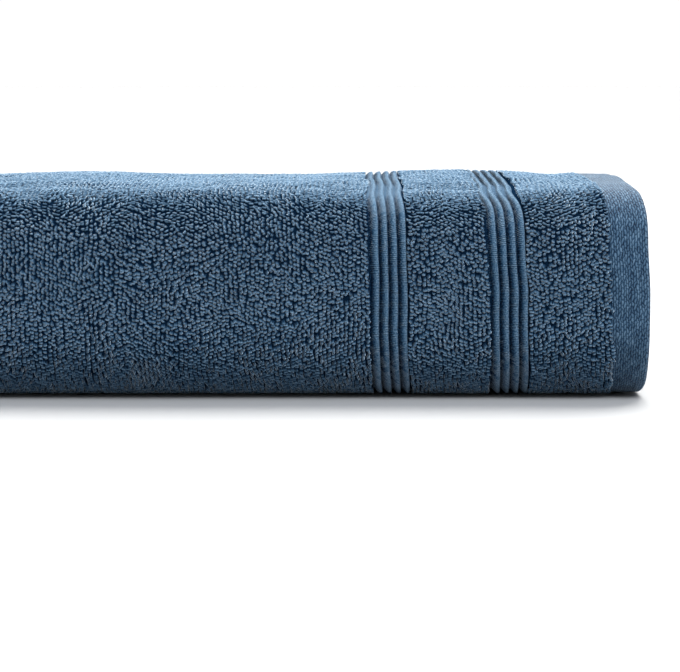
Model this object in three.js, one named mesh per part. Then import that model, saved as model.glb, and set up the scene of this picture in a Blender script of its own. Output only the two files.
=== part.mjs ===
// A terry bath towel, folded for the shelf. Millimetres, +Z up, standing on Z = 0.
// It is one piece of cloth, so it is one solid: a sheet with its hems, selvedges and ribbed borders,
// folded in half twice along its length and then in thirds across its width.
// +X is the end where the outer hem shows, and -Y is the smooth front fold.

import * as THREE from "three";

// The cloth laid flat
const CLOTH_LENGTH = 1400;
const CLOTH_WIDTH = 700;

// Thicknesses, over both faces
const TERRY = 6.4;
const HEM = 3.8;
const SELVEDGE = 3.4;
const RIB = 5.4;
const GROOVE = 3.0;
const RIM = 2.2;

// Plain edges, and the slope from one thickness to the next
const HEM_WIDTH = 16;
const SELVEDGE_WIDTH = 9;
const SLOPE = 1.2;

// Ribbed borders at each end of the cloth
const BORDERS = [{ fromEnd: 52 }, { fromEnd: 103 }];
const RIBS = 4;
const RIB_PITCH = 4;

// The bundle of layers
const LAYER_GAP = 1.4;
const LAYER_PITCH = TERRY + LAYER_GAP;
const INNERMOST = 3 * LAYER_PITCH;
const BUNDLE = INNERMOST + TERRY;
const HEIGHT = 3 * BUNDLE + 2 * LAYER_GAP;

// How far the inner hem and the inner turn stop short of the outer hem
const INNER_HEM_INSET = 7;
const INNER_TURN_INSET = 18;

// The front fold's corners, on the middle of the outer layer
const UPPER_CORNER = 32;
const LOWER_CORNER = 28;
// The back fold, on the middle of the outer layer
const BACK_TURN = BUNDLE + LAYER_GAP / 2 - TERRY / 2;
// The outer layer's top edge stops this far from the back, and each layer under it a step nearer
const TOP_EDGE_SETBACK = 36;
const TOP_EDGE_STEP = 9;
// The tucked-in third stops this far short of the front's lower corner
const TUCK_SHORT = 3.5;

// How the pile settles
const HEM_SAG = { down: 0.5, reach: 30 };
const HEM_PULL = { top: 4.6, topFrom: 45, near: 45, far: 140, foot: 1.5, footHeight: 8, footReach: 30 };
const FRONT_BULGE = { out: 2.6, reach: 60 };
const FRONT_SAG = { down: 3, reach: 100 };
const BACK_SAG = { down: 5, reach: 110 };
const TURN_SAG = { down: 5, reach: 130 };
const WAVES = [
  { lift: 0.8, alongX: 250, alongY: 400, phase: 0.6 },
  { lift: 0.4, alongX: 160, alongY: -260, phase: 2.3 },
];

const COLOUR = 0x3f5c7a;
const ROUGHNESS = 0.95;

// Follows a fold's line in its own plane: straight runs and turns joined end to end.
// Gives the point at a distance along the line, and the unit normal to the left of the way it heads.
function traceFold(rows, start, startHeading) {
  const pieces = [];
  let from = 0;
  let point = new THREE.Vector2(...start);
  let heading = new THREE.Vector2(...startHeading);
  for (const row of rows) {
    const piece = { ...row, from, point: point.clone(), heading: heading.clone() };
    piece.length = row.run ?? Math.abs(row.turn) * row.radius;
    pieces.push(piece);
    from += piece.length;
    const end = alongPiece(piece, piece.length);
    point = end.point;
    heading = end.heading;
  }
  const at = (distance) => {
    const piece = pieces.findLast((p) => distance >= p.from - 1e-9) ?? pieces[0];
    const { point: place, heading: way } = alongPiece(piece, distance - piece.from);
    return { x: place.x, y: place.y, left: new THREE.Vector2(-way.y, way.x), piece };
  };
  return { at, pieces, length: from };
}

function alongPiece(piece, distance) {
  const heading = piece.heading.clone();
  if (piece.run !== undefined) {
    return { point: piece.point.clone().addScaledVector(heading, distance), heading };
  }
  const side = Math.sign(piece.turn);
  const toCentre = new THREE.Vector2(-heading.y, heading.x).multiplyScalar(side * piece.radius);
  const centre = piece.point.clone().add(toCentre);
  const angle = (side * distance) / piece.radius;
  const point = piece.point.clone().rotateAround(centre, angle);
  return { point, heading: heading.rotateAround(new THREE.Vector2(), angle) };
}

// The length fold, in the plane of X and depth in the bundle: from the outer hem to the inner one
const HALF_TURN = Math.PI;
const QUARTER_TURN = Math.PI / 2;
const lengthTurns = HALF_TURN * (1.5 + 0.5 + 0.5) * LAYER_PITCH;
const insets = 2 * INNER_TURN_INSET + INNER_HEM_INSET;
const OUTER_RUN = (CLOTH_LENGTH - lengthTurns + insets) / 4;
const lengthFold = traceFold(
  [
    { name: "outer layer", run: OUTER_RUN },
    { name: "outer turn", turn: -HALF_TURN, radius: 1.5 * LAYER_PITCH },
    { name: "innermost layer", run: OUTER_RUN - INNER_TURN_INSET },
    { name: "turn at the hems", turn: -HALF_TURN, radius: 0.5 * LAYER_PITCH },
    { name: "third layer", run: OUTER_RUN - INNER_TURN_INSET },
    { name: "inner turn", turn: HALF_TURN, radius: 0.5 * LAYER_PITCH },
    { name: "second layer", run: OUTER_RUN - INNER_HEM_INSET },
  ],
  [0, 0],
  [-1, 0],
);

// The width fold, in the plane of Y and Z, on the middle of the outer layer: from the top edge,
// round the front, along the bottom, round the back and in between.
const frontFace = HEIGHT - TERRY - UPPER_CORNER - LOWER_CORNER;
const foldTurns = QUARTER_TURN * (UPPER_CORNER + LOWER_CORNER) + HALF_TURN * BACK_TURN;
const topLess = UPPER_CORNER - LOWER_CORNER + TOP_EDGE_SETBACK - BACK_TURN;
const BOTTOM_RUN = (CLOTH_WIDTH - foldTurns - frontFace + topLess + TUCK_SHORT) / 3;
const TOP_RUN = BOTTOM_RUN - topLess;
const widthFold = traceFold(
  [
    { name: "top", run: TOP_RUN },
    { name: "front upper corner", turn: QUARTER_TURN, radius: UPPER_CORNER },
    { name: "front", run: frontFace },
    { name: "front lower corner", turn: QUARTER_TURN, radius: LOWER_CORNER },
    { name: "bottom", run: BOTTOM_RUN },
    { name: "back turn", turn: HALF_TURN, radius: BACK_TURN },
    { name: "tucked in", run: BOTTOM_RUN - TUCK_SHORT },
  ],
  [TERRY / 2 + UPPER_CORNER + TOP_RUN, HEIGHT - TERRY / 2],
  [-1, 0],
);
const DEPTH = TERRY + LOWER_CORNER + BOTTOM_RUN + BACK_TURN;
const FOLDED_LENGTH = OUTER_RUN + 1.5 * LAYER_PITCH + TERRY / 2;

// Thickness against distance from an edge, as corners joined by straight lines
function hemProfile(ribbed) {
  const corners = [
    { at: 0, thick: RIM },
    { at: SLOPE, thick: HEM },
    { at: HEM_WIDTH, thick: HEM },
    { at: HEM_WIDTH + SLOPE, thick: TERRY },
  ];
  for (const { fromEnd } of BORDERS) {
    const width = RIBS * RIB_PITCH;
    corners.push({ at: fromEnd - SLOPE, thick: TERRY }, { at: fromEnd, thick: GROOVE });
    for (let rib = 0; ribbed && rib < RIBS; rib += 1) {
      const groove = fromEnd + rib * RIB_PITCH;
      if (rib > 0) corners.push({ at: groove, thick: GROOVE });
      corners.push({ at: groove + SLOPE, thick: RIB });
      corners.push({ at: groove + RIB_PITCH - SLOPE, thick: RIB });
    }
    corners.push({ at: fromEnd + width, thick: GROOVE }, { at: fromEnd + width + SLOPE, thick: TERRY });
  }
  return corners;
}

const outerHem = hemProfile(true);
const innerHem = hemProfile(false);
const selvedge = [
  { at: 0, thick: RIM },
  { at: SLOPE, thick: SELVEDGE },
  { at: SELVEDGE_WIDTH, thick: SELVEDGE },
  { at: SELVEDGE_WIDTH + SLOPE, thick: TERRY },
];

function thicknessOn(profile, distance) {
  const next = profile.findIndex((corner) => corner.at >= distance);
  if (next === 0) return profile[0].thick;
  if (next < 0) return TERRY;
  const [a, b] = [profile[next - 1], profile[next]];
  return THREE.MathUtils.mapLinear(distance, a.at, b.at, a.thick, b.thick);
}

function thickness(along, across) {
  const fromSide = Math.min(across, CLOTH_WIDTH - across);
  return Math.min(
    thicknessOn(outerHem, along),
    thicknessOn(innerHem, CLOTH_LENGTH - along),
    thicknessOn(selvedge, fromSide),
  );
}

// The crisp fold: a place on the cloth, and a distance off its middle, to a point of the pile
function foldedPoint(along, across, offset) {
  const length = lengthFold.at(along);
  const x = length.x + length.left.x * offset;
  const depth = length.y + length.left.y * offset;
  const width = widthFold.at(across);
  const toEdge = width.piece.name === "top" ? 1 - across / TOP_RUN : 0;
  const step = (TOP_EDGE_STEP * length.y * toEdge) / LAYER_PITCH;
  return new THREE.Vector3(x, width.x + width.left.x * depth + step, width.y + width.left.y * depth);
}

// 1 at the edge, falling smoothly to 0 at the reach
function nearEdge(distance, reach) {
  return 1 - THREE.MathUtils.smoothstep(distance, 0, reach);
}

// How far the cloth is down at a distance from an edge
function sag(distance, { down, reach }) {
  return down * Math.max(0, 1 - distance / reach) ** 2;
}

// Where the cloth of the crisp fold really lies: the hem's end draws in at the top, the front bulges,
// the ends and the back sink a little, and the top is never quite even. The foot stays flat.
function settle({ x, y, z }) {
  const height = z / HEIGHT;
  const fromHem = Math.max(0, -x);
  const wave = WAVES.reduce(
    (sum, w) => sum + w.lift * Math.sin(2 * Math.PI * (x / w.alongX + y / w.alongY) + w.phase),
    0,
  );
  const topSag = sag(y, FRONT_SAG) + sag(DEPTH - y, BACK_SAG) + sag(fromHem, HEM_SAG);
  const lift = height * (wave - sag(FOLDED_LENGTH + x, TURN_SAG)) - height ** 2 * topSag;
  const upper = Math.max(0, (z - HEM_PULL.topFrom) / (HEIGHT - HEM_PULL.topFrom));
  const foot = Math.max(0, 1 - z / HEM_PULL.footHeight);
  const pull =
    HEM_PULL.top * upper ** 3 * (1 - THREE.MathUtils.smoothstep(fromHem, HEM_PULL.near, HEM_PULL.far)) +
    HEM_PULL.foot * foot ** 2 * nearEdge(fromHem, HEM_PULL.footReach);
  const bulge = (FRONT_BULGE.out + wave) * Math.sin(Math.PI * height) * nearEdge(y, FRONT_BULGE.reach);
  return new THREE.Vector3(x - pull, y - bulge, z + lift);
}

// Where the cloth is divided into faces
function stationsOf(fold, steps, extra) {
  const stations = [...extra];
  for (const piece of fold.pieces) {
    const count = steps[piece.name];
    for (let i = 0; i <= count; i += 1) {
      stations.push(piece.from + (piece.length * i) / count);
    }
  }
  const sorted = stations.sort((a, b) => a - b);
  return sorted.filter((s, i) => i === 0 || s - sorted[i - 1] > 1e-6);
}

// Along the length, more of them near the hems and the turn beside them
const LENGTH_STEPS = {
  "outer layer": 1,
  "outer turn": 6,
  "innermost layer": 5,
  "turn at the hems": 4,
  "third layer": 5,
  "inner turn": 4,
  "second layer": 1,
};
const FROM_HEM = [8, 30, 41, 86, 165, 225, 285];
const FROM_TURN_AT_HEMS = [12, 25, 38];
const turnAtHems = lengthFold.pieces[3];
const alongStations = stationsOf(lengthFold, LENGTH_STEPS, [
  ...outerHem.map((corner) => corner.at),
  ...innerHem.map((corner) => CLOTH_LENGTH - corner.at),
  ...FROM_HEM.flatMap((s) => [s, CLOTH_LENGTH - s]),
  ...FROM_TURN_AT_HEMS.flatMap((s) => [turnAtHems.from - s, turnAtHems.from + turnAtHems.length + s]),
]);

// Across the width
const WIDTH_STEPS = {
  top: 3,
  "front upper corner": 4,
  front: 2,
  "front lower corner": 3,
  bottom: 2,
  "back turn": 6,
  "tucked in": 2,
};
const acrossStations = stationsOf(
  widthFold,
  WIDTH_STEPS,
  selvedge.flatMap((corner) => [corner.at, CLOTH_WIDTH - corner.at]),
);

// The solid: both faces of the sheet, and the rim that joins them
function clothGeometry() {
  const rows = alongStations.length;
  const columns = acrossStations.length;
  const positions = [];
  for (const side of [1, -1]) {
    for (const along of alongStations) {
      for (const across of acrossStations) {
        const offset = (side * thickness(along, across)) / 2;
        positions.push(...settle(foldedPoint(along, across, offset)));
      }
    }
  }
  const outer = (i, j) => i * columns + j;
  const inner = (i, j) => rows * columns + i * columns + j;
  const faces = [];
  const quad = (a, b, c, d) => faces.push(a, b, c, a, c, d);
  for (let i = 0; i < rows - 1; i += 1) {
    for (let j = 0; j < columns - 1; j += 1) {
      quad(outer(i, j), outer(i + 1, j), outer(i + 1, j + 1), outer(i, j + 1));
      quad(inner(i, j), inner(i, j + 1), inner(i + 1, j + 1), inner(i + 1, j));
    }
    quad(outer(i, 0), inner(i, 0), inner(i + 1, 0), outer(i + 1, 0));
    quad(outer(i, columns - 1), outer(i + 1, columns - 1), inner(i + 1, columns - 1), inner(i, columns - 1));
  }
  for (let j = 0; j < columns - 1; j += 1) {
    quad(outer(0, j), outer(0, j + 1), inner(0, j + 1), inner(0, j));
    quad(outer(rows - 1, j), inner(rows - 1, j), inner(rows - 1, j + 1), outer(rows - 1, j + 1));
  }
  const geometry = new THREE.BufferGeometry();
  geometry.setAttribute("position", new THREE.Float32BufferAttribute(positions, 3));
  geometry.setIndex(faces);
  geometry.computeVertexNormals();
  return geometry;
}

// The origin is on the surface under the middle of the folded towel
const geometry = clothGeometry();
geometry.computeBoundingBox();
const { min, max } = geometry.boundingBox;
geometry.translate(-(min.x + max.x) / 2, -(min.y + max.y) / 2, -min.z);

const towel = new THREE.Mesh(
  geometry,
  new THREE.MeshStandardMaterial({ color: COLOUR, roughness: ROUGHNESS, metalness: 0 }),
);
towel.name = "towel";

const part = new THREE.Group();
part.add(towel);

export default part;
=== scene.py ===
"""A folded terry bath towel on a pale floor: the cloth with its hems, selvedges and ribbed borders,
and the cotton loops of its pile. The fold is the solid's own, in millimetres, and is drawn in metres.
A place on the flat cloth is u along it from the outer hem, and v across it from the edge on the top."""

import math

import bpy
import numpy as np
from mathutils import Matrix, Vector
from mathutils.bvhtree import BVHTree


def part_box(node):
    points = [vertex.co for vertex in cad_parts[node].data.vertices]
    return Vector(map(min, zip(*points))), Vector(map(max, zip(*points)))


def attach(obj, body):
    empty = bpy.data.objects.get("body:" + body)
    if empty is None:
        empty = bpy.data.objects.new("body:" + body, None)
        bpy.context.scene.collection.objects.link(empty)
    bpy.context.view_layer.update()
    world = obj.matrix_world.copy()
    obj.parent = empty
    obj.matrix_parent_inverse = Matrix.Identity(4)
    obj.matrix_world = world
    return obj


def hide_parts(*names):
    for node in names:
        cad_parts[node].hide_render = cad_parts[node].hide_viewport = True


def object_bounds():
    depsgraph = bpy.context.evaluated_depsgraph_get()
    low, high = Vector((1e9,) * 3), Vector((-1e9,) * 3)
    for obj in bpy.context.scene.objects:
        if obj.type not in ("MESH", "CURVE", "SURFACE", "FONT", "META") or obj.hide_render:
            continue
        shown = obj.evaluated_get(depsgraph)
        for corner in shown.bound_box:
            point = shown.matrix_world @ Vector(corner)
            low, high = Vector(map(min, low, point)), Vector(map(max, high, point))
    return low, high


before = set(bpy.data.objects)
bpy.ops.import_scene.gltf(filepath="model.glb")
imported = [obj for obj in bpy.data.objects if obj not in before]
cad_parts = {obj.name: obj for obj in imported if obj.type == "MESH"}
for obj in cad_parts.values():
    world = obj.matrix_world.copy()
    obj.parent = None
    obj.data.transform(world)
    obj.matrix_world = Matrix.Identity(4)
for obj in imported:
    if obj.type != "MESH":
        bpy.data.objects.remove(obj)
cad_low, cad_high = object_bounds()
rng = np.random.default_rng(7)
MM = 0.001

# The cloth laid flat. Its thickness is with the loops, and its borders begin this far from a hem's edge
CLOTH_LENGTH, CLOTH_WIDTH = 1400.0, 700.0
TERRY = 6.4
HEM_WIDTH, SELVEDGE_WIDTH = 16.0, 9.0
BORDERS = (52.0, 103.0)
RIBS, RIB_PITCH = 4, 4.0
BORDER_WIDTH = RIBS * RIB_PITCH

# The bundle of four layers and its fold in three, as in the solid. The outer and the inner turn are
# radii in pitches of the layers
LAYER_GAP = 1.4
LAYER_PITCH = TERRY + LAYER_GAP
BUNDLE = 3 * LAYER_PITCH + TERRY
HEIGHT = 3 * BUNDLE + 2 * LAYER_GAP
OUTER_TURN, INNER_TURN = 1.5, 0.5
INNER_HEM_INSET, INNER_TURN_INSET = 7.0, 18.0
UPPER_CORNER, LOWER_CORNER = 32.0, 28.0
BACK_TURN = BUNDLE + LAYER_GAP / 2 - TERRY / 2
TOP_EDGE_SETBACK, TOP_EDGE_STEP = 36.0, 9.0
TUCK_SHORT = 3.5

# Half the thickness of the woven ground, without its loops
GROUND = 1.5
HEM_HALF, SELVEDGE_HALF = 2.1, 1.6
GROOVE_HALF, RIB_HALF = 0.55, 2.75

# The corners of its profile: from the hem's edge, from the hem's inner side, and from the selvedge's edge
HEM_EDGE = ((0.0, 0.7), (0.25, 1.25), (0.7, 1.75), (1.4, HEM_HALF), (4.0, HEM_HALF))
HEM_STEP = ((-1.6, HEM_HALF), (-0.6, 1.9), (0.4, GROUND))
SELVEDGE_EDGE = ((0.0, 0.7), (0.25, 1.1), (0.7, 1.45), (1.4, SELVEDGE_HALF))
SELVEDGE_STEP = ((8.2, SELVEDGE_HALF), (9.4, GROUND))

# Beside a border the ground steps down to the grooves, from the first distance to the second
BORDER_STEP = (0.9, 0.2)

# A rib's height as a share, against distance: steep towards the hem and falling slowly away from it
RIB_SHAPE = (
    (0.15, 0.0),
    (0.2, 0.55),
    (0.36, 0.88),
    (0.7, 1.0),
    (1.3, 0.96),
    (1.95, 0.8),
    (2.6, 0.55),
    (3.2, 0.25),
    (3.5, 0.0),
)


class Fold:
    """Straight runs and turns joined end to end in a plane. A row is its name, length and curvature."""

    def __init__(self, rows, start, heading):
        self.names = [name for name, _, _ in rows]
        self.bend = np.array([bend for _, _, bend in rows])
        lengths = np.array([length for _, length, _ in rows])
        self.starts = np.concatenate([[0.0], np.cumsum(lengths)])
        self.angles = heading + np.concatenate([[0.0], np.cumsum(lengths * self.bend)])
        self.points = np.zeros((len(rows) + 1, 2))
        self.points[0] = start
        for i, length in enumerate(lengths):
            self.points[i + 1] = self.step(np.array([i]), np.array([length]))[0][0]

    def start_of(self, name):
        return self.starts[self.names.index(name)]

    def step(self, i, along):
        """The point and the unit normal to the left, a distance into each of these rows."""
        bend, angle = self.bend[i], self.angles[i]
        turned = angle + bend * along
        safe = np.where(bend == 0, 1.0, bend)
        straight = np.stack([np.cos(angle), np.sin(angle)], 1) * along[:, None]
        arc = np.stack([np.sin(turned) - np.sin(angle), np.cos(angle) - np.cos(turned)], 1)
        moved = np.where((bend == 0)[:, None], straight, arc / safe[:, None])
        return self.points[i] + moved, np.stack([-np.sin(turned), np.cos(turned)], 1)

    def trace(self, distance):
        """The point, the unit normal to the left and the row's number, at distances from the start."""
        i = np.clip(np.searchsorted(self.starts, distance, "right") - 1, 0, len(self.names) - 1)
        point, left = self.step(i, distance - self.starts[i])
        return point, left, i


def turn(radius, angle):
    """The length and the curvature of a turn."""
    return abs(angle) * radius, math.copysign(1 / radius, angle)


# From the outer hem to the inner one, in the plane of X and depth in the bundle
turns_along = math.pi * (OUTER_TURN + 2 * INNER_TURN) * LAYER_PITCH
OUTER_RUN = (CLOTH_LENGTH - turns_along + 2 * INNER_TURN_INSET + INNER_HEM_INSET) / 4
length_fold = Fold(
    [
        ("outer layer", OUTER_RUN, 0.0),
        ("outer turn", *turn(OUTER_TURN * LAYER_PITCH, -math.pi)),
        ("innermost layer", OUTER_RUN - INNER_TURN_INSET, 0.0),
        ("turn at the hems", *turn(INNER_TURN * LAYER_PITCH, -math.pi)),
        ("third layer", OUTER_RUN - INNER_TURN_INSET, 0.0),
        ("inner turn", *turn(INNER_TURN * LAYER_PITCH, math.pi)),
        ("second layer", OUTER_RUN - INNER_HEM_INSET, 0.0),
    ],
    (0.0, 0.0),
    math.pi,
)

# From the top edge round the front, along the bottom, round the back and in between
front_face = HEIGHT - TERRY - UPPER_CORNER - LOWER_CORNER
turns_across = math.pi / 2 * (UPPER_CORNER + LOWER_CORNER) + math.pi * BACK_TURN
top_less = UPPER_CORNER - LOWER_CORNER + TOP_EDGE_SETBACK - BACK_TURN
BOTTOM_RUN = (CLOTH_WIDTH - turns_across - front_face + top_less + TUCK_SHORT) / 3
TOP_RUN = BOTTOM_RUN - top_less
width_fold = Fold(
    [
        ("top", TOP_RUN, 0.0),
        ("front upper corner", *turn(UPPER_CORNER, math.pi / 2)),
        ("front", front_face, 0.0),
        ("front lower corner", *turn(LOWER_CORNER, math.pi / 2)),
        ("bottom", BOTTOM_RUN, 0.0),
        ("back turn", *turn(BACK_TURN, math.pi)),
        ("tucked in", BOTTOM_RUN - TUCK_SHORT, 0.0),
    ],
    (TERRY / 2 + UPPER_CORNER + TOP_RUN, HEIGHT - TERRY / 2),
    math.pi,
)
DEPTH = TERRY + LOWER_CORNER + BOTTOM_RUN + BACK_TURN
FOLDED_LENGTH = OUTER_RUN + OUTER_TURN * LAYER_PITCH + TERRY / 2

# The hem is the solid's right side, and its back and underside are flat on the box
_, box_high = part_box("towel")
PLACE = np.array([box_high[0], box_high[1] - DEPTH * MM, 0.0])


def smoothstep(x, low, high):
    """0 up to the first place and 1 from the second on."""
    t = np.clip((x - low) / (high - low), 0.0, 1.0)
    return t * t * (3 - 2 * t)


def fade(x, low, high):
    """1 up to the first place and 0 from the second on."""
    return 1 - smoothstep(x, low, high)


def sag(distance, down, reach):
    """Down by this much at no distance, and less and less up to the reach."""
    return down * np.clip(1 - distance / reach, 0.0, None) ** 2


def hollow(x, down, at, reach):
    """Down by this much at one place, and smoothly less beside it."""
    return down * np.exp(-(((x - at) / reach) ** 2))


def waves(x, y, table):
    """A smooth unevenness: a sum of rows of height, wavelengths along x and y, and phase."""
    return sum(a * np.sin(2 * math.pi * (x / p + y / q) + c) for a, p, q, c in table)


PATCH_TABLE = 128


def patches(x, y, size, seed):
    """A smooth random field from -1 to 1, with patches of about this size."""
    table = np.random.default_rng(seed).uniform(-1, 1, (PATCH_TABLE, PATCH_TABLE))
    x, y = x / size, y / size
    i, j = np.floor(x).astype(int), np.floor(y).astype(int)
    a, b = smoothstep(x - i, 0.0, 1.0), smoothstep(y - j, 0.0, 1.0)
    i, next_i = i % PATCH_TABLE, (i + 1) % PATCH_TABLE
    j, next_j = j % PATCH_TABLE, (j + 1) % PATCH_TABLE
    near = table[i, j] * (1 - b) + table[i, next_j] * b
    far = table[next_i, j] * (1 - b) + table[next_i, next_j] * b
    return near * (1 - a) + far * a


def dimples(x, y, table):
    """Patches of several sizes: a sum of rows of height, size and seed."""
    return sum(a * patches(x, y, size, seed) for a, size, seed in table)


# How the cloth has settled. A sag is its depth and reach, a hollow its depth, place and reach, and
# what is named a start or an end has the two places between which it sets in or dies away
BROAD_WAVES = ((0.8, 250.0, 400.0, 0.6), (0.4, 160.0, -260.0, 2.3))
FRONT_SAG, BACK_SAG, FOLD_END_SAG = (3.0, 100.0), (5.0, 110.0), (5.0, 130.0)
HEM_RISE = (0.5, 40.0)
HOLLOW_BY_HEM = (1.3, 28.0, 11.0)
HOLLOW_BY_FRONT, HOLLOW_BY_FRONT_START = (1.5, 32.0, 17.0), (8.0, 60.0)

# The front's upper edge is pushed out square, most at this inset from the crisp fold's corner
SQUARE_PUSH, SQUARE_INSET, SQUARE_REACH = 2.8, 9.4, 12.0

# The hem end leans in above this height: a little on its face and steeply at its upper corner
LEAN_FROM, LEAN_ON_FACE, LEAN_FACE_TO, LEAN_AT_CORNER, LEAN_STEEPNESS = 45.0, 0.9, 0.5, 5.6, 10
LEAN_END = (45.0, 140.0)

# Its foot is drawn in on the floor, and the cloth beside it has slid towards the hem
FOOT_PULL, FOOT_PULL_END = (1.2, 8.0), (0.0, 30.0)
FOOT_SLIDE, FOOT_SLIDE_START = (2.6, 45.0), (0.0, 20.0)

# The front bulges, and has a small dent low down in the hem, beside the terry
BULGE, BULGE_END = 2.6, (0.0, 60.0)
DENT, DENT_START, DENT_END, DENT_BACK_END = (3.6, 13.0, 4.5), (0.0, 8.0), (16.0, 36.0), (0.0, 30.0)


def settled(points):
    """Where the cloth of the crisp fold really lies, much as in the solid."""
    x, y, z = points.T
    height = z / HEIGHT
    from_hem = np.clip(-x, 0.0, None)
    wave = waves(x, y, BROAD_WAVES)
    top_sag = sag(y, *FRONT_SAG) + sag(DEPTH - y, *BACK_SAG) - sag(from_hem, *HEM_RISE)
    top_sag = top_sag + hollow(from_hem, *HOLLOW_BY_HEM)
    top_sag = top_sag + hollow(y, *HOLLOW_BY_FRONT) * smoothstep(from_hem, *HOLLOW_BY_FRONT_START)
    lift = height * (wave - sag(FOLDED_LENGTH + x, *FOLD_END_SAG)) - height**2 * top_sag
    from_corner = (y - SQUARE_INSET) ** 2 + (z - HEIGHT + SQUARE_INSET) ** 2
    squarer = SQUARE_PUSH * np.exp(-from_corner / (2 * SQUARE_REACH**2))
    upper = np.clip((z + squarer - LEAN_FROM) / (HEIGHT - LEAN_FROM), 0.0, None)
    lean = LEAN_AT_CORNER * upper**LEAN_STEEPNESS + LEAN_ON_FACE * smoothstep(upper, 0.0, LEAN_FACE_TO)
    pull = lean * fade(from_hem, *LEAN_END)
    pull = pull + sag(z, *FOOT_PULL) * fade(from_hem, *FOOT_PULL_END)
    pull = pull - sag(z, *FOOT_SLIDE) * smoothstep(from_hem, *FOOT_SLIDE_START)
    bulge = (BULGE + wave) * np.sin(math.pi * height) * fade(y, *BULGE_END)
    dent = hollow(from_hem, *DENT) * smoothstep(z, *DENT_START) * fade(z, *DENT_END)
    dent = dent * fade(y, *DENT_BACK_END)
    return np.stack([x - pull, y - bulge - squarer + dent, z + lift + squarer], 1)


# The borders and the rows of loops sway a little along the cloth, and the hem's edge doesn't
SWAY_WAVES = ((0.4, 900.0, 88.0, 1.1), (0.12, 400.0, -37.0, 2.6))
SWAY_DIMPLES = ((0.22, 9.0, 21),)
SWAY_START = (0.0, 45.0)

# Small dimples of the front and the top. Their patches go by the place along the towel, and by its depth
# plus this share of its height. The front's are deeper by a factor and end towards the back, and the
# top's set in with height
FACE_DIMPLES = ((0.45, 26.0, 11), (0.25, 12.0, 12))
HEIGHT_SHARE = 1.3
FRONT_DIMPLES, FRONT_DIMPLES_END = 1.4, (5.0, 40.0)
TOP_DIMPLES_START = (30.0, 90.0)


def cloth_point(u, v, off):
    """A place on the cloth, and a distance off its middle, to a point of the folded towel in metres."""
    u, v, off = np.broadcast_arrays(*(np.asarray(a, float) for a in (u, v, off)))
    sway = waves(u, v, SWAY_WAVES) + dimples(u, v, SWAY_DIMPLES)
    u = u + sway * smoothstep(u, *SWAY_START)
    (x, deep), (left_x, left_deep) = (a.T for a in length_fold.trace(u)[:2])
    x, depth = x + left_x * off, deep + left_deep * off
    at, left, row = width_fold.trace(v)
    to_edge = np.where(row == 0, 1 - v / TOP_RUN, 0.0)
    y = at[:, 0] + left[:, 0] * depth + TOP_EDGE_STEP * deep / LAYER_PITCH * to_edge
    z = at[:, 1] + left[:, 1] * depth
    points = settled(np.stack([x, y, z], 1))
    uneven = dimples(points[:, 0], points[:, 1] + HEIGHT_SHARE * points[:, 2], FACE_DIMPLES)
    on_front = FRONT_DIMPLES * uneven * fade(points[:, 1], *FRONT_DIMPLES_END)
    points[:, 1] -= on_front * np.sin(math.pi * np.clip(z / HEIGHT, 0, 1))
    points[:, 2] += uneven * smoothstep(z, *TOP_DIMPLES_START)
    return points * MM + PLACE


FRAME_STEP = 0.4


def frame_at(u, v, off):
    """The point and the unit directions along the cloth, across it and off it."""
    point = cloth_point(u, v, off)
    along = cloth_point(u + FRAME_STEP, v, off) - cloth_point(u - FRAME_STEP, v, off)
    across = cloth_point(u, v + FRAME_STEP, off) - cloth_point(u, v - FRAME_STEP, off)
    out = np.cross(across, along)
    out *= np.sign((out * (cloth_point(u, v, off + FRAME_STEP) - point)).sum(1))[:, None]
    return point, *(a / np.linalg.norm(a, axis=1)[:, None] for a in (along, across, out))


def half_profile(borders_ribbed):
    """Half the ground's thickness against distance from a hem's edge, as corners."""
    far, near = BORDER_STEP
    corners = [*HEM_EDGE, *((HEM_WIDTH + inside, half) for inside, half in HEM_STEP)]
    for start in BORDERS:
        corners += [(start - far, GROUND), (start - near, GROOVE_HALF)]
        for rib in range(RIBS if borders_ribbed else 0):
            foot = start + rib * RIB_PITCH
            for past, share in RIB_SHAPE:
                corners.append((foot + past, GROOVE_HALF + (RIB_HALF - GROOVE_HALF) * share))
        end = start + BORDER_WIDTH
        corners += [(end + near, GROOVE_HALF), (end + far, GROUND)]
    return np.array(corners)


OUTER_HEM, INNER_HEM = half_profile(True), half_profile(False)
SIDE = np.array(SELVEDGE_EDGE + SELVEDGE_STEP)

# Over the top the ribs are drawn flat by this share, then more and more until they bend over its front
# edge, and no more on the front. Their grooves are filled up to this half thickness
FLAT_ON_TOP = 0.4
FLATTER = (TOP_RUN - 60.0, TOP_RUN - 15.0)
FLAT_END = (TOP_RUN + 4.0, TOP_RUN + 20.0)
FLAT_GROOVE_HALF = 1.35


def flattened(v):
    """How flat the ribs are drawn, from 0 to 1."""
    return (FLAT_ON_TOP + (1 - FLAT_ON_TOP) * smoothstep(v, *FLATTER)) * fade(v, *FLAT_END)


def half_thickness(u, v):
    """Half the ground's thickness at places on the cloth."""
    from_outer = np.interp(u, *OUTER_HEM.T)
    from_inner = np.interp(CLOTH_LENGTH - u, *INNER_HEM.T)
    along = np.where(u < CLOTH_LENGTH / 2, from_outer, from_inner)
    filled = np.maximum(along, FLAT_GROOVE_HALF * flattened(v))
    along = np.where(u > HEM_WIDTH, filled, along)
    from_side = np.minimum(v, CLOTH_WIDTH - v)
    across = np.minimum(np.interp(from_side, *SIDE.T), along)
    return np.where(from_side < SIDE[-1, 0], across, along)


def grid(u, v):
    """Every pair of one of these and one of those, as two flat arrays."""
    return (a.ravel() for a in np.meshgrid(u, v, indexing="ij"))


def grid_faces(rows, columns):
    """The quads between the points of a grid."""
    i, j = grid(np.arange(rows - 1), np.arange(columns - 1))
    near, far = i * columns + j, (i + 1) * columns + j
    return np.stack([near, far, far + 1, near + 1], 1)


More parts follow.
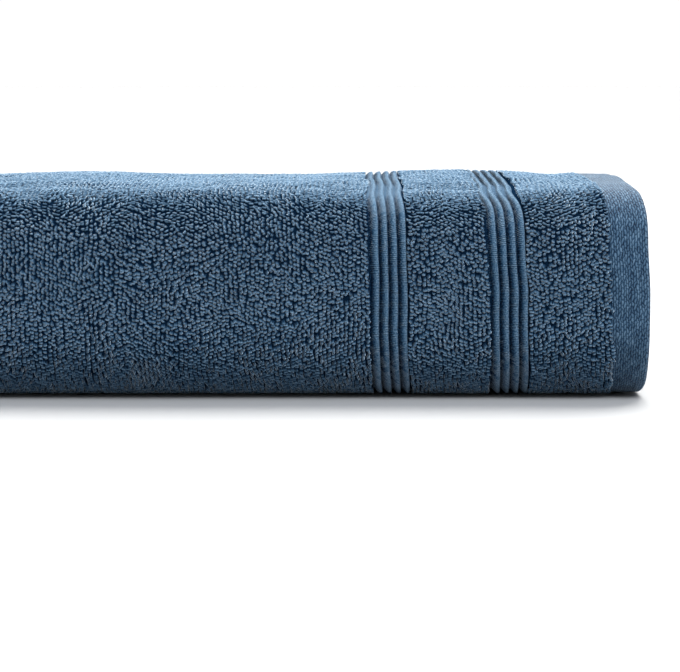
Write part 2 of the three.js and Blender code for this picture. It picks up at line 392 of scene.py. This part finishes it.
# How far apart the cloth is divided, by row of the two folds: for the cloth, and for a coarse shell.
# A division closer than this to another one is left out, unless it is an extra place
CLOTH_SPACINGS = ((9.0, 2.4, 16.0, 2.4, 16.0, 2.4, 14.0), (6.0, 3.2, 3.2, 3.2, 14.0, 4.0, 18.0))
SHELL_SPACINGS = ((9.0, 2.6, 12.0, 2.6, 12.0, 2.6, 12.0), (10.0, 4.5, 9.0, 4.5, 12.0, 4.5, 14.0))
CLOSEST = 0.5


def stations(fold, spacings, extra=()):
    """Where the cloth is divided: evenly along each run and turn, and at the extra places."""
    places = [np.asarray(extra, float)]
    for i, spacing in enumerate(spacings):
        a, b = fold.starts[i], fold.starts[i + 1]
        places.append(np.linspace(a, b, 2 + int((b - a) / spacing)))
    places = np.unique(np.concatenate(places).round(4))
    keep = np.isin(places, np.asarray(extra).round(4))
    before, after = np.diff(places, prepend=-np.inf), np.diff(places, append=np.inf)
    return places[keep | (np.minimum(before, after) >= CLOSEST)]


BAKE_MAP = "OFBake"


def mesh_object(name, points, faces, uv, bake_uv, materials, material_of, floats):
    """A mesh of quads with its maps, its material for each face and its values for each point."""
    mesh = bpy.data.meshes.new(name)
    mesh.vertices.add(len(points))
    mesh.vertices.foreach_set("co", points.astype(np.float32).ravel())
    mesh.loops.add(faces.size)
    mesh.loops.foreach_set("vertex_index", faces.astype(np.int32).ravel())
    mesh.polygons.add(len(faces))
    mesh.polygons.foreach_set("loop_start", np.arange(0, faces.size, 4, dtype=np.int32))
    mesh.polygons.foreach_set("material_index", material_of.astype(np.int32))
    mesh.update(calc_edges=True)
    mesh.polygons.foreach_set("use_smooth", np.ones(len(faces), bool))
    for layer, values in (("Cloth", uv), (BAKE_MAP, bake_uv)):
        if values is not None:
            drawn = mesh.uv_layers.new(name=layer, do_init=False)
            drawn.uv.foreach_set("vector", values.astype(np.float32).ravel())
    for key, values in floats:
        kept = mesh.attributes.new(key, "FLOAT", "POINT")
        kept.data.foreach_set("value", values.astype(np.float32))
    for material in materials:
        mesh.materials.append(material)
    mesh.validate()
    piece = bpy.data.objects.new(name, mesh)
    bpy.context.scene.collection.objects.link(piece)
    return piece


# The yarn's colour, from painted shade deep between the threads to pale tips with a painted highlight
# where they catch the light
YARN = (
    (0.0, (0.001, 0.006, 0.018)),
    (0.25, (0.012, 0.038, 0.08)),
    (0.5, (0.045, 0.092, 0.152)),
    (0.75, (0.1, 0.172, 0.258)),
    (1.0, (0.19, 0.28, 0.38)),
)
SHEEN_TINT, LOOP_SHEEN_TINT = (0.68, 0.84, 1.0), (0.74, 0.87, 1.0)
SHEEN_ROUGHNESS = 0.3


class Nodes:
    """A small helper that adds shader nodes and links them."""

    def __init__(self, name):
        self.material = bpy.data.materials.new(name)
        self.material.use_nodes = True
        self.tree = self.material.node_tree
        self.shader = self.tree.nodes["Principled BSDF"]

    def add(self, kind, settings=(), **inputs):
        """A node with its settings and inputs. An input is its socket's name, or i and its number."""
        node = self.tree.nodes.new(kind)
        for key, value in dict(settings).items():
            setattr(node, key, value)
        for key, value in inputs.items():
            self.put(node.inputs[int(key[1:]) if key[1:].isdigit() else key], value)
        return node

    def put(self, socket, value):
        if isinstance(value, bpy.types.NodeSocket):
            self.tree.links.new(value, socket)
        else:
            socket.default_value = value

    def math(self, operation, *values):
        node = self.add("ShaderNodeMath", {"operation": operation})
        for socket, value in zip(node.inputs, values):
            self.put(socket, value)
        return node.outputs[0]

    def product(self, a, b):
        return self.math("MULTIPLY", a, b)

    def attribute(self, name):
        return self.add("ShaderNodeAttribute", {"attribute_name": name}).outputs["Fac"]

    def cloth_mm(self):
        """The place on the flat cloth, along and across it, in millimetres."""
        place = self.add("ShaderNodeUVMap", {"uv_map": "Cloth"}).outputs[0]
        split = self.add("ShaderNodeSeparateXYZ", i0=place)
        return self.product(split.outputs[0], 1 / MM), self.product(split.outputs[1], 1 / MM)

    def vector(self, x, y, z=0.0):
        node = self.add("ShaderNodeCombineXYZ")
        for socket, value in zip(node.inputs, (x, y, z)):
            self.put(socket, value)
        return node.outputs[0]

    def noise(self, place, scale, detail=2.0):
        return self.add("ShaderNodeTexNoise", Vector=place, Scale=scale, Detail=detail).outputs["Fac"]

    def sum(self, *terms):
        """The sum of pairs of a value and its weight, and of plain numbers."""
        total = 0.0
        for term in terms:
            total = self.math("ADD", total, self.product(*term) if isinstance(term, tuple) else term)
        return total

    def yarn(self, value):
        """The yarn's colour at a value from 0 to 1."""
        node = self.add("ShaderNodeValToRGB", i0=value)
        elements = node.color_ramp.elements
        while len(elements) < len(YARN):
            elements.new(0.5)
        for element, (at, colour) in zip(elements, YARN):
            element.position = at
            element.color = (*colour, 1.0)
        return node.outputs[0]

    def bump(self, height, distance, strength=1.0):
        """Bump from a height. The distance is in metres."""
        node = self.add("ShaderNodeBump", Height=height, Distance=distance, Strength=strength)
        self.put(self.shader.inputs["Normal"], node.outputs[0])

    def finish(self, colour, roughness, specular=0.0, sheen=0.0, tint=SHEEN_TINT):
        self.put(self.shader.inputs["Base Color"], colour)
        self.shader.inputs["Roughness"].default_value = roughness
        self.shader.inputs["Specular IOR Level"].default_value = specular
        self.shader.inputs["Sheen Weight"].default_value = sheen
        self.shader.inputs["Sheen Roughness"].default_value = SHEEN_ROUGHNESS
        self.shader.inputs["Sheen Tint"].default_value = (*tint, 1.0)
        return self.material


# The scales of noise, for each metre on the loops and for each millimetre on the flat cloth. In the
# materials below, a pair in a sum is a value and its weight in the yarn's colour or in the weave's place
LOOP_PATCHES, LOOP_FUZZ = 60.0, 2600.0
CLOTH_PATCHES, RIB_FUZZ, SEED_SWAY, SEED_WANDER = 0.3, 1.5, 0.4, 1.1

# The ground's threads, in radians for each millimetre along and across the cloth
GROUND_THREADS = (8.0, 9.0)
RIB_THREAD_PITCH = 0.72


def terry_material():
    """Loops with painted shade at the foot and a painted highlight where they face out, each of its own
    tone, fuzzy and patchy.
    """
    nodes = Nodes("terry loops")
    tone, lift = nodes.attribute("tone"), nodes.attribute("lift")
    place = nodes.add("ShaderNodeTexCoord").outputs["Object"]
    patch, fuzz = nodes.noise(place, LOOP_PATCHES), nodes.noise(place, LOOP_FUZZ, detail=1.0)
    tip = nodes.sum(0.23, (tone, 0.26), (patch, 0.16), (fuzz, 0.42))
    # The value falls towards the loop's foot: painted shade down in the pile
    climb = nodes.math("POWER", nodes.math("MAXIMUM", lift, 0.0), 1.8)
    value = nodes.product(tip, nodes.sum(0.05, (climb, 1.05)))
    nodes.bump(fuzz, distance=0.0001, strength=0.4)
    return nodes.finish(nodes.yarn(value), roughness=0.9, sheen=0.6, tint=LOOP_SHEEN_TINT)


def ground_material():
    """The woven ground between the loops, painted dark as the shade down among them."""
    nodes = Nodes("woven ground")
    along, across = nodes.cloth_mm()
    warp = nodes.math("SINE", nodes.product(along, GROUND_THREADS[0]))
    weft = nodes.math("SINE", nodes.product(across, GROUND_THREADS[1]))
    weave = nodes.product(warp, weft)
    nodes.bump(weave, distance=0.0001)
    return nodes.finish(nodes.yarn(nodes.sum(0.03, (weave, 0.03))), roughness=0.95)


def seed_weave(name, column, seed, slant):
    """Narrow columns of slanted seeds, each a thread's float, set about half a seed apart in turn.
    The columns' width and the seeds' length are in millimetres. All of it wanders a little, a seed's
    height falls off from the ridge along its middle and at its ends, and its tone is its own."""
    nodes = Nodes(name)
    along, across = nodes.cloth_mm()
    place = nodes.vector(along, across)
    patch, sway = nodes.noise(place, CLOTH_PATCHES), nodes.noise(nodes.vector(across, along), SEED_SWAY)
    wander = nodes.sum((patch, 2.6), (nodes.noise(place, SEED_WANDER), 1.6), -2.1)
    columns_in = nodes.math("DIVIDE", nodes.sum(along, (wander, 0.4), (sway, 1.2)), column)
    index = nodes.math("FLOOR", columns_in)
    seeds_in = nodes.sum((nodes.sum(across, wander), 1 / seed), (index, 0.56))
    from_middle = nodes.math("SUBTRACT", nodes.math("FRACT", seeds_in), 0.5)
    odd = nodes.math("FLOORED_MODULO", index, 2.0)
    turned = nodes.sum((odd, 1.3 * slant), (sway, 3.4 * slant), -2.35 * slant)
    from_ridge = nodes.sum(nodes.math("FRACT", columns_in), -0.5, (from_middle, turned))
    ridge = nodes.sum(1.0, (nodes.product(from_ridge, from_ridge), -4.2))
    ends = nodes.sum(1.0, (nodes.math("POWER", nodes.math("ABSOLUTE", from_middle), 4.0), -14.0))
    height = nodes.math("MAXIMUM", nodes.product(ridge, ends), 0.0)
    number = nodes.vector(index, nodes.math("FLOOR", seeds_in))
    tone = nodes.add("ShaderNodeTexWhiteNoise", {"noise_dimensions": "2D"}, Vector=number).outputs["Value"]
    nodes.bump(height, distance=0.0004)
    # Darker where a seed is low: painted shade in the gaps between the seeds
    value = nodes.sum(-0.19, (height, 0.47), (tone, 0.2), (patch, 0.36))
    return nodes.finish(nodes.yarn(value), roughness=0.85, specular=0.15, sheen=0.2)


def rib_material():
    """Ribs with painted shade in the grooves and paler crowns, with fine threads across them."""
    nodes = Nodes("border ribs")
    along, across = nodes.cloth_mm()
    place = nodes.vector(along, across)
    fuzz, patch = nodes.noise(place, RIB_FUZZ, detail=3.0), nodes.noise(place, CLOTH_PATCHES)
    thread = nodes.math("SINE", nodes.sum((across, 2 * math.pi / RIB_THREAD_PITCH), (fuzz, 4.0)))
    thread = nodes.product(thread, nodes.sum((patch, 1.6), -0.55))
    # Darker down the rib's flanks into its grooves: painted shade
    crown = nodes.math("POWER", nodes.attribute("lift"), 1.4)
    value = nodes.sum(-0.7, (crown, 0.6), (fuzz, 1.1), (patch, 0.3), (thread, 0.45))
    nodes.bump(nodes.sum((thread, 4.0), (fuzz, 3.0)), distance=0.00012)
    return nodes.finish(nodes.yarn(value), roughness=0.9, sheen=0.35)


hem_weave = seed_weave("hem weave", column=1.1, seed=2.4, slant=0.42)
selvedge_weave = seed_weave("selvedge weave", column=0.8, seed=1.3, slant=0.2)
ribs_material = rib_material()
ground_weave = ground_material()
loops_material = terry_material()

# The cloth's materials by number, and how pale the ribs' grooves are painted where the ribs are flat:
# painted light reaching into them from above
CLOTH_MATERIALS = [hem_weave, selvedge_weave, ribs_material, ground_weave]
IS_HEM, IS_SELVEDGE, IS_BORDER, IS_GROUND = range(4)
PAINTED_GROOVE_LIGHT = 0.72


def rim_faces(rows, columns):
    """The quads that join the edges of the two faces of the cloth."""
    under, last_row, last_column = rows * columns, (rows - 1) * columns, columns - 1
    along, across = np.arange(rows - 1) * columns, np.arange(columns - 1)
    return [
        np.stack([along, along + under, along + columns + under, along + columns], 1),
        np.stack([along, along + columns, along + columns + under, along + under], 1) + last_column,
        np.stack([across, across + 1, across + 1 + under, across + under], 1),
        np.stack([across, across + under, across + 1 + under, across + 1], 1) + last_row,
    ]


def cloth_material_of(middle):
    """The number of the material, by the middle of each face on the flat cloth."""
    from_end = np.minimum(middle[:, 0], CLOTH_LENGTH - middle[:, 0])
    from_side = np.minimum(middle[:, 1], CLOTH_WIDTH - middle[:, 1])
    kind = np.where(from_side < SELVEDGE_WIDTH, IS_SELVEDGE, IS_GROUND)
    for at in BORDERS:
        in_border = (from_end > at) & (from_end < at + BORDER_WIDTH)
        kind[in_border & (from_side > SELVEDGE_WIDTH)] = IS_BORDER
    kind[from_end < HEM_WIDTH] = IS_HEM
    return kind


def build_cloth():
    """Both faces of the woven ground with its ribs, hems and selvedges, and the rim that joins them."""
    ends = np.concatenate([OUTER_HEM[:, 0], CLOTH_LENGTH - INNER_HEM[:, 0]])
    sides = np.concatenate([SIDE[:, 0], CLOTH_WIDTH - SIDE[:, 0]])
    u = stations(length_fold, CLOTH_SPACINGS[0], ends)
    v = stations(width_fold, CLOTH_SPACINGS[1], sides)
    rows, columns = len(u), len(v)
    u, v = grid(u, v)
    half = half_thickness(u, v)
    points = np.concatenate([cloth_point(u, v, side * half) for side in (1, -1)])
    top = grid_faces(rows, columns)
    under = top[:, ::-1] + rows * columns
    faces = np.concatenate([top, under, *rim_faces(rows, columns)])
    place = np.stack([np.tile(u, 2), np.tile(v, 2)], 1)
    # The ribs' height share, by which their material paints shade into the grooves
    lift = np.clip((half - GROOVE_HALF) / (RIB_HALF - GROOVE_HALF), 0, 1)
    # Raised where the ribs are flat: painted light in their grooves on the top
    lift = np.tile(np.maximum(lift, PAINTED_GROOVE_LIGHT * flattened(v)), 2)
    bake = (place / (CLOTH_LENGTH, 2 * CLOTH_WIDTH))[faces]
    bake[len(top) : len(top) + len(under), :, 1] += 0.5
    return mesh_object(
        "towel_cloth",
        points,
        faces,
        (place * MM)[faces].reshape(-1, 2),
        bake.reshape(-1, 2),
        CLOTH_MATERIALS,
        cloth_material_of(place[faces].mean(1)),
        [("lift", lift)],
    )


cloth = build_cloth()

# The pile is rows of loops, in four zones of the cloth: the front with its corners, the top, the rest
# that shows, and the underside. By zone, the loops' pitches along and across the cloth, their scale,
# and how far their lean wanders
FRONT, TOP, REST, UNDER = range(4)
LOOP_PITCHES = ((1.8, 1.62), (1.95, 1.82), (2.13, 2.05), (2.7, 2.6))
LOOP_SCALES = np.array([1.0, 1.09, 1.2, 1.4])
LOOP_DRIFTS = np.array([1.0, 0.9, 0.45, 0.6])

# The front's zone begins a little above its upper corner and ends a little past its lower one, and the
# underside's ends short of the back's turn
FRONT_FROM, FRONT_TO = TOP_RUN - 24.0, width_fold.start_of("bottom") + 6.0
UNDER_TO = width_fold.start_of("back turn") - 4.0

# A loop's seat strays by this much along and across, and a band of terry keeps a margin at its ends.
# Loops are left out where the fold draws them together this far off the cloth's middle: the share that
# stays is the stretch each way, up to the most, times the filling
SEAT_STRAYS = (0.1, 0.12)
TERRY_MARGIN = 0.4
STRETCH_OFF, STRETCH_MOST, FILLING = 2.0, 1.05, 1.05

# What can be seen is tested in square cells, from a little above a coarse shell of the pile: straight
# out and in rings of directions, each with its angle and count
CELL = 5.0
SHELL_LOOPS, SHELL_MOST, EYE_OFF, EYE_LIFT = 1.4, 2.9, 3.0, 0.25
RINGS = ((0.45, 5), (0.85, 8), (1.25, 9))
RAY_LENGTH = 0.5


def terry_rows(pitch):
    """The places along the cloth of its rows of loops. Each band of terry is filled evenly."""
    edges = [HEM_WIDTH, *(e for at in BORDERS for e in (at, at + BORDER_WIDTH))]
    edges += [CLOTH_LENGTH - e for e in reversed(edges)]
    places = []
    for a, b in zip(edges[::2], edges[1::2]):
        a, b = a + TERRY_MARGIN, b - TERRY_MARGIN
        count = round((b - a) / pitch)
        places.append(a + (np.arange(count) + 0.5) * (b - a) / count)
    return np.concatenate(places)


def pile_shell():
    """A tree of the two faces of the pile, as coarse sheets, for telling what can be seen past them."""
    u = stations(length_fold, SHELL_SPACINGS[0])
    v = stations(width_fold, SHELL_SPACINGS[1])
    top = grid_faces(len(u), len(v))
    u, v = grid(u, v)
    half = np.minimum(half_thickness(u, v) + SHELL_LOOPS, SHELL_MOST)
    points = np.concatenate([cloth_point(u, v, side * half) for side in (1, -1)])
    return BVHTree.FromPolygons(points.tolist(), np.concatenate([top, top + len(u)]).tolist())


def outward_directions():
    """Directions out of the cloth, as shares along it, across it and off it."""
    directions = [(0, 0, 1)]
    for ring, count in RINGS:
        for k in range(count):
            angle = 2 * math.pi * k / count + ring
            aside = math.sin(ring)
            directions.append((aside * math.cos(angle), aside * math.sin(angle), math.cos(ring)))
    return directions


def seen_cells():
    """For each face of the cloth, which cells of it can be seen from outside the folded towel."""
    tree = pile_shell()
    directions = outward_directions()
    rows, columns = int(CLOTH_LENGTH / CELL), int(CLOTH_WIDTH / CELL)
    u, v = grid((np.arange(rows) + 0.5) * CELL, (np.arange(columns) + 0.5) * CELL)
    seen = {}
    for side in (1, -1):
        point, along, across, out = frame_at(u, v, side * EYE_OFF)
        eyes = point + out * side * EYE_LIFT * MM
        free = []
        for row in zip(*(a.tolist() for a in (eyes, along, across, out * side))):
            eye, x, y, z = (Vector(a) for a in row)
            hits = (tree.ray_cast(eye, x * a + y * b + z * c, RAY_LENGTH)[0] for a, b, c in directions)
            free.append(any(hit is None for hit in hits))
        free = np.array(free).reshape(rows, columns)
        grown = free.copy()
        grown[1:] |= free[:-1]
        grown[:-1] |= free[1:]
        grown[:, 1:] |= free[:, :-1]
        grown[:, :-1] |= free[:, 1:]
        seen[side] = grown
    return seen


def is_outermost(u, side):
    """Whether a place is on the outer face of the outer layer."""
    return (u < length_fold.start_of("outer turn")) & (side > 0)


def zone_of(u, v, side):
    """The zone of a place on one face of the cloth."""
    beyond_front = np.where(v < UNDER_TO, UNDER, REST)
    zone = np.where(v > FRONT_FROM, np.where(v < FRONT_TO, FRONT, beyond_front), TOP)
    return np.where(is_outermost(u, side), zone, REST)


def stretch(u, v, side, along, across):
    """How far apart in millimetres two places lie, this far either way on the flat cloth."""
    ahead = cloth_point(u + along, v + across, side * STRETCH_OFF)
    behind = cloth_point(u - along, v - across, side * STRETCH_OFF)
    return np.linalg.norm(ahead - behind, axis=1) / MM


def loop_seats():
    """The places of the loops that can be seen: along and across the cloth, its face and the zone."""
    seen = seen_cells()
    seats = []
    for zone, (row_pitch, loop_pitch) in enumerate(LOOP_PITCHES):
        for side in (1, -1):
            u = terry_rows(row_pitch)
            v = np.arange(SELVEDGE_WIDTH + loop_pitch / 2, CLOTH_WIDTH - SELVEDGE_WIDTH, loop_pitch)
            odd = np.repeat(np.arange(len(u)) % 2, len(v))
            u, v = grid(u, v)
            v = v + (odd - 0.5) * loop_pitch / 2 + rng.normal(0, SEAT_STRAYS[1], len(v))
            u = u + rng.normal(0, SEAT_STRAYS[0], len(u))
            i = np.clip((u / CELL).astype(int), 0, seen[side].shape[0] - 1)
            j = np.clip((v / CELL).astype(int), 0, seen[side].shape[1] - 1)
            keep = seen[side][i, j] & (zone_of(u, v, side) == zone)
            u, v = u[keep], v[keep]
            wide = np.minimum(stretch(u, v, side, 0.0, 0.5), STRETCH_MOST)
            long = np.minimum(stretch(u, v, side, 0.5, 0.0), STRETCH_MOST)
            keep = rng.random(len(u)) < wide * long * FILLING
            u, v = u[keep], v[keep]
            seats.append(np.stack([u, v, np.full(len(u), side), np.full(len(u), zone)], 1))
    return np.concatenate(seats)


# A loop is a tube of three sides on a path of half widths and shares of the loop's length. What varies
# is its middle size, spread, least and most
LOOP_SIDES = 3
FULL_LOOP = ((-0.6, 0.0), (-0.85, 0.85), (0.85, 0.9), (0.6, 0.0))
PLAIN_LOOP = ((-0.6, 0.0), (0.0, 1.0), (0.6, 0.0))
LOOP_RADIUS, LOOP_FOOT = 0.5, 1.0
RADIUS_SHARES = (1.0, 0.06, 0.8, 1.2)
LOOP_LENGTHS = (2.1, 0.2, 1.6, 2.9)
LOOP_HALF_WIDTHS = (0.56, 0.12, 0.3, 0.9)
CREST_STRAY = 0.22
LOOP_RISES = (0.2, 0.98)

# Where the loops lean and how they open wanders in patches, and from loop to loop
LEAN_PATCHES, LEAN_STRAY = ((0.8, 30.0, 1), (0.6, 9.0, 2)), 0.25
OPENING_PATCHES, OPENING_STRAY = ((0.7, 17.0, 3),), 0.35

# How much paler a tube is painted where it faces out and darker where it faces in, a painted highlight and
# shade, and the margin of a loop's cell in the bake map
PAINTED_FACING_LIGHT = 0.18
CELL_MARGIN = 0.07


def varied(count, middle, spread, least, most):
    """Random sizes about a middle one, from the least to the most."""
    return rng.normal(middle, spread, count).clip(least, most)


def loop_lines(seats, path):
    """Each loop's line, radius, the unit normal of its plane, and the way out of the cloth."""
    u, v, side = seats.T[:3]
    zone = seats[:, 3].astype(int)
    count = len(u)
    point, along, across, out = frame_at(u, v, 0.0 * u)
    out = out * side[:, None]
    drift = LOOP_DRIFTS[zone] * dimples(u, v, LEAN_PATCHES)
    lean = math.pi / 2 + drift + rng.normal(0, LEAN_STRAY, count)
    open_at = lean + math.pi / 2 + dimples(u, v, OPENING_PATCHES) + rng.normal(0, OPENING_STRAY, count)
    over = along * np.cos(lean)[:, None] + across * np.sin(lean)[:, None]
    opening = along * np.cos(open_at)[:, None] + across * np.sin(open_at)[:, None]
    scale = LOOP_SCALES[zone]
    radius = LOOP_RADIUS * scale * varied(count, *RADIUS_SHARES)
    crest = (TERRY / 2 - radius) - np.abs(rng.normal(0, CREST_STRAY, count))
    length = scale * varied(count, *LOOP_LENGTHS)
    rise = np.clip((crest - LOOP_FOOT) / length, *LOOP_RISES)
    reach = out * rise[:, None] + over * np.sqrt(1 - rise**2)[:, None]
    half_width = scale * varied(count, *LOOP_HALF_WIDTHS)
    foot = point + out * LOOP_FOOT * MM
    line = []
    for aside, share in path:
        moved = opening * (aside * half_width)[:, None] + reach * (share * length)[:, None]
        line.append(foot + moved * MM)
    normal = np.cross(opening, reach)
    return np.stack(line, 1), radius, normal / np.linalg.norm(normal, axis=1)[:, None], out


def bake_cells(count, segments):
    """A cell of the bake map for each loop, with the tube's faces side by side in it."""
    part, side = grid(np.arange(segments), np.arange(LOOP_SIDES))
    across = np.stack([side, side + 1, side + 1, side], 1) / LOOP_SIDES
    along = np.stack([part, part, part + 1, part + 1], 1) / segments
    inside = np.stack([across, along], 2) * (1 - 2 * CELL_MARGIN) + CELL_MARGIN
    cells = math.ceil(math.sqrt(count))
    corner = np.stack([np.arange(count) % cells, np.arange(count) // cells], 1)
    return ((corner[:, None, None] + inside[None]) / cells).reshape(-1, 2)


def loop_mesh(name, seats, path):
    """The pile of one part of the towel. Each loop is a thin tube that rises and lies over."""
    count, segments = len(seats), len(path) - 1
    line, radius, normal, out = loop_lines(seats, path)
    way = np.gradient(line, axis=1)
    way /= np.linalg.norm(way, axis=2)[:, :, None]
    level = np.repeat(normal[:, None], segments + 1, 1)
    aside = np.cross(level, way)
    rings, facing_out = [], []
    for side in range(LOOP_SIDES):
        angle = 2 * math.pi * side / LOOP_SIDES
        outward = level * math.cos(angle) + aside * math.sin(angle)
        rings.append(line + outward * (radius * MM)[:, None, None])
        facing_out.append((outward * out[:, None]).sum(2))
    points = np.stack(rings, 2).reshape(-1, 3)
    part, side = grid(np.arange(segments), np.arange(LOOP_SIDES))
    beside = (side + 1) % LOOP_SIDES
    near, far = part * LOOP_SIDES, (part + 1) * LOOP_SIDES
    quads = np.stack([near + side, near + beside, far + beside, far + side], 1)
    loop_points = (segments + 1) * LOOP_SIDES
    faces = (quads[None] + (np.arange(count) * loop_points)[:, None, None]).reshape(-1, 4)
    # A point's share up its loop, which paints shade at the foot, plus the painted highlight and shade by
    # which way the tube faces
    climb = np.tile(np.repeat([share for _, share in path], LOOP_SIDES), count)
    lift = climb + PAINTED_FACING_LIGHT * np.stack(facing_out, 2).ravel()
    tone = np.repeat(rng.random(count), loop_points)
    floats = [("lift", lift), ("tone", tone)]
    bake = bake_cells(count, segments)
    return mesh_object(name, points, faces, None, bake, [loops_material], np.zeros(len(faces)), floats)


def triangles(piece):
    """The number of triangles of a piece that is all quads."""
    return 2 * len(piece.data.polygons)


# The front's loops are two pieces, divided at this share of the outer layer, so that neither is too big
FRONT_DIVIDE = 0.48


def build_pile():
    """The pieces of the pile, each with its number of loops and triangles printed."""
    seats = loop_seats()
    u, _, side, zone = seats.T
    outermost = is_outermost(u, side)
    hem_half = u < length_fold.start_of("outer turn") * FRONT_DIVIDE
    parts = [
        ("pile_front_hem", (zone == FRONT) & hem_half, FULL_LOOP),
        ("pile_front_fold", (zone == FRONT) & ~hem_half, FULL_LOOP),
        ("pile_top", zone == TOP, FULL_LOOP),
        ("pile_back", (zone == REST) & outermost, FULL_LOOP),
        ("pile_between", (zone == REST) & ~outermost, PLAIN_LOOP),
        ("pile_under", zone == UNDER, PLAIN_LOOP),
    ]
    made = []
    for name, chosen, path in parts:
        made.append(loop_mesh(name, seats[chosen], path))
        print(name, int(chosen.sum()), "loops", triangles(made[-1]), "triangles")
    return made


pile = build_pile()
print("cloth triangles", triangles(cloth), "all", sum(triangles(piece) for piece in (cloth, *pile)))

for piece in (cloth, *pile):
    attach(piece, "root")
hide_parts("towel")

# The floor is plain and matt, and a hair below the towel. Its sizes are in metres
FLOOR_SIZE, FLOOR_DOWN = 24.0, 0.0001
FLOOR_COLOUR = (0.296, 0.31, 0.33, 1.0)

# The sky is bright up to the first share of its height and dimmer from the second: share and grey
SKY = ((0.12, 1.0), (0.5, 0.4))
SKY_STRENGTH = 1.02

# The photo's view. The camera is left of the hem, in front of the towel and above it, and looks down
CAMERA_LEFT, CAMERA_AWAY, CAMERA_ABOVE = 0.1315, 1.21, 0.054
CAMERA_DOWN = 5.585
SENSOR_WIDTH, LENS = 36.0, 152.1


def lay_floor():
    """The stage that the towel lies on."""
    bpy.ops.mesh.primitive_plane_add(size=FLOOR_SIZE, location=(0, 0, -FLOOR_DOWN))
    floor = bpy.context.object
    floor.name = "floor"
    material = bpy.data.materials.new("pale floor")
    material.use_nodes = True
    shader = material.node_tree.nodes["Principled BSDF"]
    shader.inputs["Base Color"].default_value = FLOOR_COLOUR
    shader.inputs["Roughness"].default_value = 0.9
    shader.inputs["Specular IOR Level"].default_value = 0.1
    floor.data.materials.append(material)


def add_lamp(name, kind, direction, power, colour):
    """A lamp that shines this way."""
    data = bpy.data.lights.new(name, kind)
    data.energy = power
    data.color = colour
    lamp = bpy.data.objects.new(name, data)
    lamp.rotation_euler = Vector(direction).to_track_quat("-Z", "Y").to_euler()
    bpy.context.scene.collection.objects.link(lamp)
    return lamp


def soft_light(name, place, aim, size, watts, colour=(1.0, 1.0, 1.0)):
    """A rectangular light at a place, turned to its aim."""
    lamp = add_lamp(name, "AREA", Vector(aim) - Vector(place), watts, colour)
    lamp.data.shape = "RECTANGLE"
    lamp.data.size, lamp.data.size_y = size
    lamp.location = place
    lamp.visible_camera = False


def broad_sun(name, direction, strength, spread, colour):
    """A light as wide as a studio ceiling, the same everywhere on the floor. The spread is in degrees."""
    lamp = add_lamp(name, "SUN", direction, strength, colour)
    lamp.data.angle = math.radians(spread)


def add_sky():
    """The pale studio all round."""
    world = bpy.data.worlds.new("studio")
    bpy.context.scene.world = world
    world.use_nodes = True
    nodes, links = world.node_tree.nodes, world.node_tree.links
    up = nodes.new("ShaderNodeSeparateXYZ")
    links.new(nodes.new("ShaderNodeTexCoord").outputs["Generated"], up.inputs[0])
    sky = nodes.new("ShaderNodeValToRGB")
    links.new(up.outputs["Z"], sky.inputs[0])
    for element, (at, grey) in zip(sky.color_ramp.elements, SKY):
        element.position = at
        element.color = (grey, grey, grey, 1.0)
    links.new(sky.outputs[0], nodes["Background"].inputs["Color"])
    nodes["Background"].inputs["Strength"].default_value = SKY_STRENGTH


def add_camera():
    camera = bpy.data.objects.new("camera", bpy.data.cameras.new("camera"))
    camera.data.sensor_width = SENSOR_WIDTH
    camera.data.lens = LENS
    camera.location = (cad_high[0] - CAMERA_LEFT, cad_low[1] - CAMERA_AWAY, cad_high[2] + CAMERA_ABOVE)
    camera.rotation_euler = (math.radians(90 - CAMERA_DOWN), 0.0, 0.0)
    bpy.context.scene.collection.objects.link(camera)
    bpy.context.scene.camera = camera


WARM, WARMER = (1.0, 0.95, 0.88), (1.0, 0.9, 0.77)

lay_floor()
broad_sun("ceiling", direction=(-0.1, -0.62, -1.0), strength=10.0, spread=50.0, colour=WARM)
soft_light("back", (0.4, 2.0, 1.7), (0.1, 0.0, 0.08), size=(2.6, 0.8), watts=44.0, colour=WARMER)
soft_light("side", (-1.9, -0.5, 1.2), (-0.1, 0.0, 0.05), size=(1.2, 1.2), watts=16.0)
soft_light("front", (0.9, -1.6, 1.9), (0.0, -0.1, 0.05), size=(1.4, 1.4), watts=79.0)
add_sky()
add_camera()

view = bpy.context.scene.view_settings
view.view_transform = "Standard"
view.look = "None"
